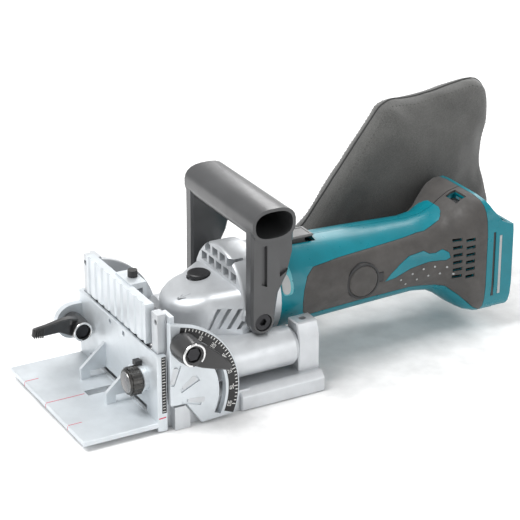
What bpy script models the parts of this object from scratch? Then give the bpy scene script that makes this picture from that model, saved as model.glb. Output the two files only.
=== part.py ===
"""Cordless plate joiner: a biscuit slot cutter with a tilting fence, a height guide and a dust bag.

Frame: X across the tool (+X is the side with the angle scale), -Y the working end, +Z up.
Z = 0 is the underside of the blade case, and X = 0 is the tool's middle plane. The fence tilts
about the X direction through Y = 0. Dimensions are in millimetres and MM turns them into metres.
"""
import math

import bmesh
import bpy
from mathutils import Matrix, Vector

MM = 0.001
GAP = 0.3  # clearance between neighbouring pieces

# Blade and plunge
BLADE_R = 50.0
BLADE_Z = 10.0  # blade centre above the underside
KERF = 3.6
SPINDLE_Y = 52.0
PLUNGE = 20.5

# Blade case
CASE_HALF = 58.0
NECK_HALF = 55.3  # half width ahead of the wide block
CASE_FRONT = 1.6
CASE_REAR = 114.0
CASE_TOP = 14.0
ROD_X, ROD_Z, ROD_R = 41.0, 30.0, 4.0

# Fence
PIVOT_Z = 22.0
FENCE_FRONT, FENCE_REAR = -2.9, 3.0
FENCE_HALF = 54.0
FENCE_BOTTOM, FENCE_TOP = 17.0, 78.0
QUADRANT_IN, QUADRANT_OUT = 56.0, 60.7
QUADRANT_R = 50.0
SLOT_R = 38.0  # radius of the arc that the tilt lock bolt runs in
LOCK_Y, LOCK_Z = 9.8, 58.7

# Angle guide
GUIDE_HALF = 58.0
GUIDE_FRONT = -5.6
FOOT_FRONT = -56.0
FOOT_LOW, FOOT_TOP = 3.1, 7.1
KNOB_X, KNOB_Z = 39.0, 30.0
PINION_R = 5.4
PINION_TEETH = 12
CLAMP_Y, CLAMP_Z = -13.8, 32.6

# Plunge stop
DIAL_X, DIAL_Z = -26.0, 30.5
DIAL_R = 6.3
STEP_R = 3.9  # radius of the circle that the dial's six steps stand on

# Motor unit
MOTOR_Z = 55.0
HEAD_R = 25.0
HEAD_SLOPE = 0.17  # how fast the head's top rises towards the motor
BARREL_R = 13.0
SWITCH_Y = 124.5
BUTTON_X, BUTTON_Y = -9.0, 57.5  # the shaft lock button, over the crown gear's lock holes
HANDLE_Y, HANDLE_Z = 82.0, 118.0
BOSS_Y, BOSS_Z = 75.5, 51.8


def material(name, colour, roughness, metallic=0.0):
    made = bpy.data.materials.new(name)
    made.use_nodes = True
    shader = made.node_tree.nodes["Principled BSDF"]
    shader.inputs["Base Color"].default_value = (*colour, 1.0)
    shader.inputs["Roughness"].default_value = roughness
    shader.inputs["Metallic"].default_value = metallic
    made.diffuse_color = (*colour, 1.0)
    return made


def is_bent(face):
    """Whether a face with four corners is out of plane."""
    a, b, c, d = [vert.co for vert in face.verts[:4]] if len(face.verts) == 4 else [Vector()] * 4
    return abs((b - a).cross(c - a).dot(d - a)) > 1e-4


def solid(name, bm, look):
    """A closed mesh object from a bmesh in millimetres, with its faces pointing out."""
    bmesh.ops.triangulate(bm, faces=[face for face in bm.faces if is_bent(face)])
    bmesh.ops.recalc_face_normals(bm, faces=bm.faces)
    bmesh.ops.scale(bm, vec=(MM, MM, MM), verts=bm.verts)
    mesh = bpy.data.meshes.new(name)
    bm.to_mesh(mesh)
    bm.free()
    obj = bpy.data.objects.new(name, mesh)
    bpy.context.scene.collection.objects.link(obj)
    if look:
        mesh.materials.append(look)
    return obj


def loft(name, rings, look=None):
    """A closed skin through rings of equally many points, capped at both ends."""
    bm = bmesh.new()
    rows = [[bm.verts.new(p) for p in ring] for ring in rings]
    for low, high in zip(rows, rows[1:]):
        for i in range(len(low)):
            j = (i + 1) % len(low)
            bm.faces.new((low[i], low[j], high[j], high[i]))
    bm.faces.new(rows[0])
    bm.faces.new(rows[-1])
    return solid(name, bm, look)


def along(axis, u, v, w):
    """The point at w along an axis and (u, v) in the plane across it, in the order X, Y, Z."""
    if axis == "X":
        return (w, u, v)
    return (u, w, v) if axis == "Y" else (u, v, w)


def prism(name, axis, low, high, outline, look=None):
    return loft(name, [[along(axis, u, v, w) for u, v in outline] for w in (low, high)], look)


def box(name, x, y, z, look=None):
    corners = [(x[0], y[0]), (x[1], y[0]), (x[1], y[1]), (x[0], y[1])]
    return prism(name, "Z", z[0], z[1], corners, look)


def circle(radius, count, u=0.0, v=0.0, start=0.0):
    turn = 2 * math.pi / count
    return [
        (u + radius * math.cos(start + i * turn), v + radius * math.sin(start + i * turn))
        for i in range(count)
    ]


def turned(name, axis, centre, steps, look=None, count=24):
    """A turned solid: steps are (distance along the axis, radius) from one end to the other."""
    rings = [
        [along(axis, u, v, w) for u, v in circle(radius, count, *centre)]
        for w, radius in steps
    ]
    return loft(name, rings, look)


def ring(name, axis, centre, low, high, inner, outer, look=None, count=24):
    made = turned(name, axis, centre, [(low, outer), (high, outer)], look, count)
    return cut(made, turned("bore", axis, centre, [(low - 1, inner), (high + 1, inner)], count=count))


def arc(radius, start, end, count, centre=(0.0, PIVOT_Z)):
    """Points in the Y-Z plane at angles in degrees measured from straight up towards the rear."""
    angles = [math.radians(start + (end - start) * i / (count - 1)) for i in range(count)]
    return [(centre[0] + radius * math.sin(a), centre[1] + radius * math.cos(a)) for a in angles]


def freeze(obj):
    """Replaces the object's mesh by what its modifiers make of it."""
    graph = bpy.context.evaluated_depsgraph_get()
    made = bpy.data.meshes.new_from_object(obj.evaluated_get(graph))
    obj.modifiers.clear()
    obj.data = made
    return obj


def combine(obj, tools, operation):
    for tool in tools:
        change = obj.modifiers.new(operation, "BOOLEAN")
        change.operation = operation
        change.object = tool
        freeze(obj)
        bpy.data.objects.remove(tool)
    return obj


def cut(obj, *tools):
    return combine(obj, tools, "DIFFERENCE")


def join(obj, *tools):
    return combine(obj, tools, "UNION")


def common(obj, *tools):
    return combine(obj, tools, "INTERSECT")


def eased(obj, width, segments=1, angle=40.0):
    """Rounds the sharp edges of a solid."""
    change = obj.modifiers.new("edges", "BEVEL")
    change.width = width * MM
    change.segments = segments
    change.limit_method = "ANGLE"
    change.angle_limit = math.radians(angle)
    return freeze(obj)


def body(name, pivot, members, parent=None):
    """An empty on a joint's axis that carries the pieces of one moving body."""
    empty = bpy.data.objects.new(name, None)
    bpy.context.scene.collection.objects.link(empty)
    empty.empty_display_size = 0.02
    place = Vector(pivot) * MM
    for obj in members:
        obj.data.transform(Matrix.Translation(-place))
        obj.parent = empty
        obj.data.shade_smooth()
        obj.data.set_sharp_from_angle(angle=math.radians(35))
    empty.location = place
    if parent:
        empty.location = place - parent.matrix_world.translation
        empty.parent = parent
    bpy.context.view_layer.update()
    return empty


# Blade case and what is fixed to it


def blade_sweep(radius, low, high):
    """The space that the blade passes through from its rest place to its deepest cut."""
    half = circle(radius, 48, 0, SPINDLE_Y)
    rear = [(x, y) for x, y in half if y >= SPINDLE_Y]
    front = [(x, y - PLUNGE) for x, y in half if y < SPINDLE_Y]
    return prism("blade_sweep", "Z", low, high, rear + front)


def rear_post(side):
    outline = [(35, 12), (50, 12), (50, 38), (47, 46.5), (35, 46.5)]
    post = prism("post", "Y", 98.5, CASE_REAR, [(side * x, z) for x, z in outline])
    return eased(post, 0.8)


def front_tower(side):
    """Holds a guide rod's front end, the tilt lock bolt and, on its ear, the fence's hinge pin."""
    tower = box("tower", sorted((side * 34, side * NECK_HALF)), (7.0, 14.0), (12, 42))
    cheek = [(7.0, 13), (20, 13), (20, 52), (16.5, 64), (13, 66.8), (7.0, 66.8)]
    upright = prism("upright", "X", side * 50, side * NECK_HALF, cheek)
    ear = prism("ear", "X", side * 49.8, side * 53.4, ear_outline())
    toe = [(5, 0), (15.5, 0), (15.5, 11), (12.3, 15.8), (5, 15.8)]
    foot = prism("foot", "X", side * 53, side * 60, toe)
    return join(tower, upright, ear, foot)


def ear_outline():
    lobe = arc(2.6, -90, 30, 9)
    return lobe + [(8.5, PIVOT_Z), (8.5, 13), (2.4, 13), (1.6, 15.0)]


def rod_bore(side, low, high):
    steps = [(low, ROD_R + GAP), (high, ROD_R + GAP)]
    return turned("rod_bore", "Y", (side * ROD_X, ROD_Z), steps, count=16)


def make_case(look):
    front = prism(
        "front", "Z", 0, CASE_TOP,
        [(-53.3, CASE_FRONT), (53.3, CASE_FRONT), (53.3, 5), (NECK_HALF, 5), (NECK_HALF, 60),
         (-NECK_HALF, 60), (-NECK_HALF, 5), (-53.3, 5)],
    )
    half = [(CASE_HALF, 0), (CASE_HALF, 9.5), (54, CASE_TOP)]
    profile = half + [(-x, z) for x, z in reversed(half)]
    case = prism("base_case", "Y", 53, CASE_REAR, profile, look)
    case = join(eased(case, 0.8), front)
    for side in (1, -1):
        join(case, rear_post(side), front_tower(side))
        cut(
            case,
            rod_bore(side, 5, 111),
            turned("screw_hole", "Z", (side * ROD_X, 106), [(33, 2.5), (50, 2.5)], count=16),
            turned("bolt_bore", "X", (LOCK_Y, LOCK_Z), [(side * 45, 2.3), (side * 58, 2.3)], count=16),
            turned("pin_bore", "X", (0, PIVOT_Z), [(side * 45, 1.7), (side * 56, 1.7)], count=14),
        )
    join(case, box("dial_post", (DIAL_X - 5, DIAL_X + 5), (6.6, 8.6), (12, DIAL_Z + 5)))
    cut(case, turned("dial_bore", "Y", (DIAL_X, DIAL_Z), [(6, 2.1), (10, 2.1)], count=14))
    slot = [(-15.6, 16), (15.6, 16), (15.6, 68), (-15.6, 68)]
    cut(
        case,
        blade_sweep(BLADE_R + 1.2, 7.6, 12.3),
        box("sole_opening", (-51.5, 51.5), (9, 104), (-1, 7.7)),
        prism("spindle_slot", "Z", 11, 15, slot),
        box("chip_exit", (-46, -22), (100, 120), (3.6, 12.3)),
    )
    return case


def make_blade_cover(look):
    """The plate under the blade, with a stiffening rim along its free end."""
    cover = box("blade_cover", (-51.1, 51.1), (9.6, 103.6), (0.4, 3.0), look)
    rims = [box("rim", x, (98.6, 101), (2.6, 4.4)) for x in ((-40, -20), (10, 40))]
    return join(cover, *rims)


def make_set_screw(name, side, look):
    screw = turned(name, "Z", (side * ROD_X, 106), [(34.4, 2.2), (44.0, 2.2)], look, 20)
    return cut(screw, prism("hex", "Z", 41, 45, circle(1.1, 6, side * ROD_X, 106)))


def coil(name, centre, low, high, radius, wire, turns, look):
    """A compression spring along Y."""
    steps, sides = 8 * turns, 4
    rings = []
    for i in range(steps + 1):
        angle = 2 * math.pi * turns * i / steps
        y = low + wire + (high - low - 2 * wire) * i / steps
        out = Vector((math.cos(angle), 0, math.sin(angle)))
        middle = Vector((centre[0], y, centre[1])) + out * radius
        rings.append(
            [
                middle + out * wire * math.cos(a) + Vector((0, wire * math.sin(a), 0))
                for a in (2 * math.pi * k / sides for k in range(sides))
            ]
        )
    return loft(name, rings, look)


# Fence


def make_fence_frame(look):
    width, height = (-FENCE_HALF, FENCE_HALF), (FENCE_BOTTOM, FENCE_TOP)
    frame = box("fence_frame", width, (FENCE_FRONT, FENCE_REAR), height, look)
    pocket = box("pocket", (-44, 44), (-5, 0.3), (24, 90))
    rack_slot = box("rack_slot", (29.7, 45.8), (-5, 5), (21, 90))
    cut(frame, pocket, rack_slot)
    for side in (1, -1):
        cut(frame, box("corner", sorted((side * 49.5, side * 60)), (-5, 5), (10, 27)))
        lug = arc(3.4, 0, 180, 9) + [(-2.9, 18.6), (-2.9, 25.4)]
        join(frame, prism("lug", "X", side * 45.9, side * 49.5, lug))
        cut(frame, turned("pin_bore", "X", (0, PIVOT_Z), [(side * 45, 1.7), (side * 51, 1.7)], count=14))
        cut(frame, turned("screw_bore", "Y", (side * 51.5, 72.5), [(-5, 1.9), (5, 1.9)], count=14))
    return frame


def quadrant_outline():
    rim = arc(QUADRANT_R, 21.7, 113, 20)
    return [(2.0, 73.4), *rim, (23.3, 1.4), (12.8, 17.0), (2.0, 17.4)]


def make_quadrant(name, side, look):
    plate = prism(name, "X", side * QUADRANT_IN, side * QUADRANT_OUT, quadrant_outline(), look)
    eased(plate, 0.6)
    slot = arc(SLOT_R + 2.4, 9, 116, 18) + arc(SLOT_R - 2.4, 116, 9, 18)
    cut(plate, prism("slot", "X", side * 50, side * 66, slot))
    flange = box("flange", sorted((side * 46.5, side * 58)), (FENCE_REAR + GAP, 6.4), (68, 77))
    join(plate, flange)
    cut(plate, turned("bore", "Y", (side * 51.5, 72.5), [(2, 1.4), (8, 1.4)], count=14))
    for angle in (18, 62, 104):
        a = math.radians(angle)
        rib = [(-1.5, 10), (1.5, 10), (2.3, 24), (-2.3, 24)]
        turned_rib = [
            (r * math.sin(a) + t * math.cos(a), PIVOT_Z + r * math.cos(a) - t * math.sin(a))
            for t, r in rib
        ]
        cut(plate, prism("panel", "X", side * (QUADRANT_OUT - 0.8), side * 66, turned_rib))
    return plate


def make_frame_screw(name, side, x, look):
    steps = [(FENCE_FRONT + 3.5, 1.6), (2.9, 1.6), (2.9, 1.1), (6.1, 1.1)]
    return turned(name, "Y", (side * x, 72.5), steps, look, 16)


def gear_outline(teeth, pitch_r, module, centre, phase=0.0):
    """A spur gear's outline with thin, short teeth, so that it meshes with play."""
    points = []
    for i in range(teeth):
        middle = phase + 2 * math.pi * i / teeth
        half_root = 0.62 * module / pitch_r
        half_pitch = 0.50 * module / pitch_r
        half_tip = 0.25 * module / pitch_r
        for angle, radius in (
            (-half_root, pitch_r - 1.15 * module),
            (-half_pitch, pitch_r),
            (-half_tip, pitch_r + 0.7 * module),
            (half_tip, pitch_r + 0.7 * module),
            (half_pitch, pitch_r),
            (half_root, pitch_r - 1.15 * module),
        ):
            a = middle + angle
            points.append((centre[0] + radius * math.cos(a), centre[1] + radius * math.sin(a)))
    return points


def rack_outline(pitch_x, module, low, high, tooth_z):
    """A rack with teeth towards +X. tooth_z is the middle of one gap."""
    pitch = math.pi * module
    points = [(pitch_x - 3.4, high), (pitch_x - 3.4, low)]
    first = math.ceil((low + 1.2 - tooth_z) / pitch - 0.5)
    z = tooth_z + (first + 0.5) * pitch
    root, tip = pitch_x - 1.15 * module, pitch_x + 0.7 * module
    points.append((root, low))
    while z < high - 1.2:
        points += [(root, z - 0.62 * module), (pitch_x, z - 0.5 * module), (tip, z - 0.25 * module)]
        points += [(tip, z + 0.25 * module), (pitch_x, z + 0.5 * module), (root, z + 0.62 * module)]
        z += pitch
    points.append((root, high))
    return points


# Angle guide


def make_angle_guide(look):
    width = (-GUIDE_HALF, GUIDE_HALF)
    foot = box("angle_guide", width, (FOOT_FRONT, GUIDE_FRONT + 1), (FOOT_LOW, FOOT_TOP), look)
    eased(foot, 1.2, 2)
    plate = box("plate", width, (GUIDE_FRONT, FENCE_FRONT - GAP), (0.6, 52))
    eased(plate, 0.5, 1)
    join(foot, plate)
    for side in (1, -1):
        join(foot, box("rail", sorted((side * 54.3, side * GUIDE_HALF)), (-4, 0.7), (0.6, 52)))
        rib = [(-23.2, 6.5), (-4.8, 6.5), (-4.8, 31), (-23.2, 15)]
        join(foot, prism("rib", "X", side * 18.0, side * 20.6, rib))
    ear = arc(12.0, 180, 360, 13, (CLAMP_Y + 1.5, 32.0)) + [(-4.5, 44.0), (-4.5, 20.0)]
    join(foot, prism("ear", "X", -GUIDE_HALF, -53.2, ear))
    boss = turned("boss", "Y", (KNOB_X, KNOB_Z), [(-9.0, 7.6), (-8.4, 8.2), (-4.5, 8.2)], count=22)
    join(foot, boss)
    cut(
        foot,
        box("blade_slot", (-42, 42), (-16.8, 5), (7.5, 12.5)),
        box("sight_slot", (-3.5, 3.5), (-28, -7.6), (0, 10)),
        turned("shaft_bore", "Y", (KNOB_X, KNOB_Z), [(-12, 2.3), (0, 2.3)], count=16),
        turned("clamp_bore", "X", (CLAMP_Y, CLAMP_Z), [(-66, 2.3), (-50, 2.3)], count=16),
        turned("tongue_hole", "Y", (-10, 48), [(-8, 1.9), (0, 1.9)], count=14),
        turned("tongue_hole_2", "Y", (10, 48), [(-8, 1.9), (0, 1.9)], count=14),
    )
    return foot


def make_top_plate(look):
    """The grooved plate above the guide, with the tongue behind that carries it."""
    half, grooves = 43.3, 9
    pitch = 2 * half / grooves
    front, rear = -5.8, 0.0
    outline = [(half, rear), (-half, rear), (-half, front)]
    for i in range(grooves):
        left = -half + i * pitch
        outline += [(left + 0.28 * pitch, front), (left + 0.36 * pitch, front + 0.9)]
        outline += [(left + 0.64 * pitch, front + 0.9), (left + 0.72 * pitch, front)]
    outline.append((half, front))
    plate = prism("guide_top_plate", "Z", 55.2, 81.4, outline, look)
    join(plate, box("tongue", (-16, 16), (-2.8, 0), (44.5, 58)))
    join(plate, box("shelf", (-8, 14), (-1.5, 9.5), (78.7, 82.4)))
    join(plate, box("lip", (-8, 14), (6.8, 9.5), (72.5, 80)))
    cut(plate, turned("stop_bore", "Z", (3, 5.2), [(76, 1.6), (84, 1.6)], count=14))
    for x in (-10, 10):
        cut(plate, turned("hole", "Y", (x, 48), [(-4, 1.4), (2, 1.4)], count=14))
    return plate


# Lever arms: share of the way to the tip, half width, half thickness, rise above the straight line
TILT_ARM = [
    (0.0, 7.6, 3.4, 0), (0.35, 6.6, 3.0, 0.6), (0.6, 5.0, 2.4, 1.0), (0.8, 3.2, 2.0, 0.8), (1.0, 1.6, 1.4, 0),
]
GUIDE_ARM = [
    (0.0, 6.2, 3.4, 0), (0.25, 5.8, 3.0, 2.6), (0.45, 4.2, 2.5, 3.8), (0.75, 3.5, 2.1, 1.6), (1.0, 2.9, 1.5, 0),
]


def make_lever(name, centre, front, back, reach, hub_r, arm, look):
    """A clamp lever on an axis along X, from its hub's mounting face to its outer face."""
    y, z = centre
    out = math.copysign(1, front - back)
    mid = back + 0.55 * (front - back)
    steps = [(back, hub_r - 0.6), (back + 2.5 * out, hub_r), (mid, hub_r), (front, hub_r - 0.9)]
    hub = turned(name, "X", centre, steps, look)
    root = Vector((mid, y, z))
    tip = Vector((mid + 0.45 * (front - back), y + reach[0], z + reach[1]))
    across = Vector((0, -reach[1], reach[0])).normalized() * math.copysign(1, reach[0])
    rings = []
    for share, width, thick, rise in arm:
        bow = Vector((2.2 * out * math.sin(math.pi * share), 0, 0))
        middle = root.lerp(tip, share) + bow + across * rise
        side, up = across * width, Vector((thick, 0, 0))
        rings.append([middle + side + up, middle - side + up, middle - side - up, middle + side - up])
    join(hub, eased(loft("arm", rings), 0.7, 1, 30))
    cut(
        hub,
        turned("bore", "X", centre, [(back - 2 * out, 2.3), (front + 2 * out, 2.3)], count=14),
        turned("recess", "X", centre, [(front - 3 * out, 5.2), (front + out, 5.2)], count=16),
    )
    return hub


def make_bolt(name, centre, start, end, head, look):
    """A bolt along X with a hexagon head at its end."""
    out = math.copysign(1, end - start)
    shank = turned(name, "X", centre, [(start, 2.0), (end, 2.0)], look, 16)
    hexagon = prism("head", "X", end - head * out, end, circle(4.4, 6, *centre))
    return join(shank, hexagon)


def make_knob(look):
    centre = (KNOB_X, KNOB_Z)
    teeth = [
        (KNOB_X + r * math.cos(a), KNOB_Z + r * math.sin(a))
        for r, a in ((9.3 if i % 2 else 8.7, math.pi * i / 18) for i in range(36))
    ]
    knob = prism("height_knob", "Y", -16.6, -10.4, teeth, look)
    join(knob, turned("face", "Y", centre, [(-18.2, 7.6), (-17.6, 8.4), (-16.0, 8.4)], count=24))
    join(knob, turned("neck", "Y", centre, [(-11, 7.0), (-9.4, 7.0)], count=24))
    cut(knob, turned("bore", "Y", centre, [(-15.5, 2.3), (-9, 2.3)], count=16))
    dimple = turned("dimple", "Y", (KNOB_X - 4.6, KNOB_Z + 2.4), [(-19, 1.2), (-17.2, 1.2)], count=10)
    return cut(knob, dimple)


def make_height_pinion(look):
    shaft = turned("height_pinion", "Y", (KNOB_X, KNOB_Z), [(-15.2, 2.0), (1, 2.0)], look, 16)
    outline = gear_outline(PINION_TEETH, PINION_R, 0.9, (KNOB_X, KNOB_Z), math.pi)
    return join(shaft, prism("gear", "Y", 0.7, 2.7, outline))


# Gear housing and motor


def oval(a, b, power, count, centre):
    """A rounded outline between an ellipse (power 2) and a rectangle (large power)."""
    points = []
    for i in range(count):
        t = 2 * math.pi * (i + 0.5) / count
        c, s = math.cos(t), math.sin(t)
        u = a * math.copysign(abs(c) ** (2 / power), c)
        v = b * math.copysign(abs(s) ** (2 / power), s)
        points.append((centre[0] + u, centre[1] + v))
    return points


def shell(name, sections, inset=0.0, look=None, count=24):
    """A skin along Y through sections of (y, half width, middle z, half height, power)."""
    rings = []
    for y, a, z, b, power in sections:
        outline = oval(a - inset, b - inset, power, count, (0, z))
        rings.append([(x, y, v) for x, v in outline])
    return loft(name, rings, look)


HOUSING = [
    (97.0, 29.5, 55.3, 29.5, 2.0), (114, 29.4, 55.3, 29.4, 2.0), (170, 27.4, 55.0, 27.4, 2.0),
    (208, 26.0, 54.6, 26.0, 2.0), (221, 26.5, 54.4, 27.2, 2.15), (229, 28.6, 54.0, 31.0, 2.5),
    (236, 31.8, 53.6, 36.2, 3.2), (243, 34.6, 53.3, 40.2, 4.2), (250, 35.8, 53.2, 41.8, 5.0),
    (273, 36.0, 53.2, 42.0, 5.0),
]
REAR_SLOPE = [(253, 98), (258, 88), (264, 80), (271, 76.5), (290, 75), (290, 120), (253, 120)]
# The rubber grip in side view: a long leaf that widens into a band around the flared rear end
GRIP = [
    (119, 38.5), (115, 43), (113.8, 51), (114.6, 59), (118, 67), (124, 71.5), (144, 73), (196, 74.4),
    (214, 75.6), (221, 77.4), (226.5, 80.5), (230.5, 84.5), (233.5, 89.5), (235.5, 95), (236.5, 104),
    (252, 104), (252, 15), (246, 18.5), (236, 28.5), (227, 36), (200, 40), (160, 40), (130, 39),
]
# The housing shows through the grip in this leaf
LEAF = [
    (177.3, 50.7), (182.5, 55.6), (189, 60), (197, 64), (209, 65), (213, 62.6), (217.6, 62.2), (223, 64),
    (227, 61.5), (227.8, 58), (224.7, 56.4), (212.3, 57.4), (197.4, 55.6), (185.3, 51.7),
]
VENT_Y = (232.6, 240.6)
VENT_LOW, VENT_STEP, VENT_COUNT = 42.0, 5.2, 6


def head_outline(inset, height, slope):
    """The gear head seen from above: round in front, widening towards the motor."""
    radius = HEAD_R - inset
    front = [math.radians(180 + 180 * i / 16) for i in range(17)]
    points = [(radius * math.cos(a), SPINDLE_Y + radius * math.sin(a)) for a in front]
    flank = [(30 - inset, 62), (33 - inset, 68), (33 - inset, 72)]
    points += flank + [(-x, y) for x, y in reversed(flank)]
    return [(x, y, height + slope * (y - SPINDLE_Y + HEAD_R)) for x, y in points]


def make_gear_housing(look):
    shoulder = [(0.9, 58.2), (2.8, 60.6), (6.0, 62.0), (9.0, 62.3)]
    rings = [head_outline(2.5, 19, 0), head_outline(0, 22, 0), head_outline(0, 55.0, 0.12)]
    rings += [head_outline(inset, height, HEAD_SLOPE) for inset, height in shoulder]
    head = loft("gear_housing", rings, look)
    drum = [(67.5, 33.6), (69.5, 35), (84, 35), (88, 32.5)]
    join(head, turned("drum", "Y", (0, MOTOR_Z), drum, count=30))
    join(head, box("slide", (-33, 33), (30, 96), (CASE_TOP + 0.4, 23)))
    join(head, turned("spindle_neck", "Z", (0, SPINDLE_Y), [(14.6, 15.0), (24, 15.0)]))
    for side in (1, -1):
        steps = [(42, 12.4), (43, BARREL_R), (95, BARREL_R), (97.8, 11)]
        barrel = turned("barrel", "Y", (side * ROD_X, ROD_Z), steps, count=28)
        web = box("web", sorted((side * 20, side * 38)), (44, 87.6), (19, 40))
        boss = turned("handle_boss", "X", (BOSS_Y, BOSS_Z), [(side * 20, 11), (side * 36, 8.4)])
        join(head, barrel, web, boss)
    return hollow_gear_housing(head)


def hollow_gear_housing(head):
    cut(
        head,
        turned("gear_room", "Z", (0, SPINDLE_Y), [(27, 20), (61.5, 20)], count=20),
        turned("bearing_seat", "Z", (0, SPINDLE_Y), [(16.4, 11.3), (28, 11.3)], count=20),
        turned("spindle_hole", "Z", (0, SPINDLE_Y), [(10, 7.5), (17, 7.5)], count=16),
        turned("pinion_room", "Y", (0, MOTOR_Z), [(55, 11), (76, 11)], count=16),
        turned("fan_room", "Y", (0, MOTOR_Z), [(74, 29), (92, 29)], count=24),
        turned("button_hole", "Z", (BUTTON_X, BUTTON_Y), [(60, 2.6), (70, 2.6)], count=10),
        turned("button_well", "Z", (BUTTON_X, BUTTON_Y), [(63.2, 8.0), (90, 8.0)], count=20),
    )
    for side in (1, -1):
        cut(
            head,
            rod_bore(side, 40, 99),
            turned("bolt_hole", "X", (BOSS_Y, BOSS_Z), [(side * 28.5, 2.3), (side * 37, 2.3)], count=12),
        )
    cut(head, turned("stop_hole", "Y", (DIAL_X + STEP_R, DIAL_Z), [(30, 1.9), (48, 1.9)], count=12))
    for z, xs in ((82.5, (-15, -5, 5, 15)), (74.5, (-20, -10, 0, 10, 20))):
        for x in xs:
            cut(head, box("vent", (x - 3.6, x + 3.6), (60, 76), (z - 3.1, z + 3.1)))
    for side in (1, -1):
        for k in range(4):
            y = 46 + 6 * k
            groove = [(y, 44), (y + 2.4, 44), (y + 9.4, 58), (y + 7.0, 58)]
            cut(head, prism("groove", "X", side * (23.2 + 1.9 * k), side * 45, groove))
    return head


def make_bearing_box(look):
    """The silver ring between the gear housing and the motor housing, with a bearing seat."""
    made = turned("bearing_box", "Y", (0, MOTOR_Z), [(88.3, 30.6), (89.2, 31.4), (96.7, 31.0)], look, 32)
    cut(
        made,
        turned("air", "Y", (0, MOTOR_Z), [(91.2, 27), (98, 27)], count=32),
        turned("seat", "Y", (0, MOTOR_Z), [(87, 9.3), (92, 9.3)], count=22),
    )
    return made


def make_housing(name, side, look):
    half = shell(name, HOUSING, 0, look)
    cut(half, shell("inside", lengthened(HOUSING), 2.6))
    cut(half, prism("slope", "X", -60, 60, REAR_SLOPE))
    common(half, box("side", sorted((side * 0.15, side * 80)), (90, 290), (0, 110)))
    pocket = prism("pocket", "X", side * -1, side * 60, grown(GRIP, GAP))
    cut(pocket, shell("core", HOUSING, 1.7), prism("leaf", "X", side * 8, side * 60, LEAF))
    cut(half, pocket)
    cut(
        half,
        turned("cap_hole", "X", (160, MOTOR_Z), [(side * 18, 11.3), (side * 40, 11.3)], count=24),
        box("switch_slot", (-8.3, 8.3), (SWITCH_Y - 10.5, SWITCH_Y + 10), (78, 92)),
        box("battery_mouth", (-30, 30), (262, 290), (-5, 74)),
    )
    for y, low, high in ((258, 26, 73), (263, 27, 70)):
        cut(half, box("rim_groove", sorted((side * 34.8, side * 50)), (y - 1, y + 1), (low, high)))
    return opened(half, side)


def opened(piece, side):
    """Cuts what housing and grip share: the vents and, on the near side, the latch window."""
    for k in range(VENT_COUNT):
        for y in VENT_Y:
            z = VENT_LOW + VENT_STEP * k
            slant = [(y - 2.9, z), (y + 2.9, z + 1.2), (y + 2.9, z + 3.6), (y - 2.9, z + 2.4)]
            cut(piece, prism("vent", "X", side * 20, side * 50, slant))
    if side > 0:
        cut(piece, box("latch_window", (2.5, 16), (239, 247), (80, 100)))
    return piece


def lengthened(sections):
    """The same sections, run past the front end and short of the rear one."""
    first, last = sections[0], sections[-1]
    return [(first[0] - 5, *first[1:]), *sections[1:-1], (last[0] - 2.6, *last[1:])]


def grown(outline, by):
    """The outline moved outwards by a distance."""
    points = [Vector(p) for p in outline]
    following = points[1:] + points[:1]
    turn = math.copysign(1, sum(a.cross(b) for a, b in zip(points, following)))
    made = []
    for before, point, after in zip(points[-1:] + points[:-1], points, following):
        way = (point - before).normalized() * turn
        middle = (way + (after - point).normalized() * turn).normalized()
        out = Vector((middle.y, -middle.x))
        made.append(point + out * by / max(0.5, middle.dot(way)))
    return made


def make_grip(name, side, look):
    grip = shell(name, HOUSING, 0.0, look)
    common(grip, prism("area", "X", side * GAP, side * 60, GRIP))
    cut(
        grip,
        shell("core", HOUSING, 1.4),
        prism("leaf", "X", side * 7, side * 60, grown(LEAF, GAP)),
        turned("cap_hole", "X", (160, MOTOR_Z), [(side * 10, 12.6), (side * 40, 12.6)], count=24),
        box("cap_key", sorted((side * 10, side * 40)), (171, 176), (51.5, 58.5)),
    )
    return opened(grip, side)


def make_handle(look):
    centre = (HANDLE_Y, HANDLE_Z)
    bar = prism("handle", "X", -45.5, 47.4, oval(15.4, 11.0, 2.6, 24, centre), look)
    for side in (1, -1):
        leg = [(67.0, 116), (97.2, 116), (96.8, 96), (93, 82), (86.5, 70), (84.2, 56)]
        leg += arc(8.6, 90, 270, 9, (BOSS_Y, BOSS_Z)) + [(66.6, 60), (67.0, 90)]
        join(bar, eased(prism("leg", "X", side * 36.4, side * 45.5, leg), 1.6, 1, 30))
        cut(
            bar,
            turned("bolt_hole", "X", (BOSS_Y, BOSS_Z), [(side * 34, 3.0), (side * 50, 3.0)], count=12),
            turned("head_seat", "X", (BOSS_Y, BOSS_Z), [(side * 40.5, 6.0), (side * 50, 6.0)], count=20),
            prism("front_flute", "X", side * 43.4, side * 50, [(74, 78), (78, 76), (78, 104), (74, 104)]),
            prism("rear_flute", "X", side * 43.4, side * 50, [(87, 81), (99, 88), (99, 104), (87, 104)]),
        )
    return cut(bar, prism("mouth", "X", -20, 50, oval(13.2, 8.8, 2.6, 24, centre)))


def make_handle_bolt(name, side, look):
    bolt = turned(name, "X", (BOSS_Y, BOSS_Z), [(side * 29, 2.0), (side * 41, 2.0)], look, 16)
    join(bolt, turned("head", "X", (BOSS_Y, BOSS_Z), [(side * 40.8, 5.4), (side * 44.6, 5.4)], count=20))
    return cut(bolt, prism("hex", "X", side * 42.2, side * 46, circle(2.6, 6, BOSS_Y, BOSS_Z)))


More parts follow.
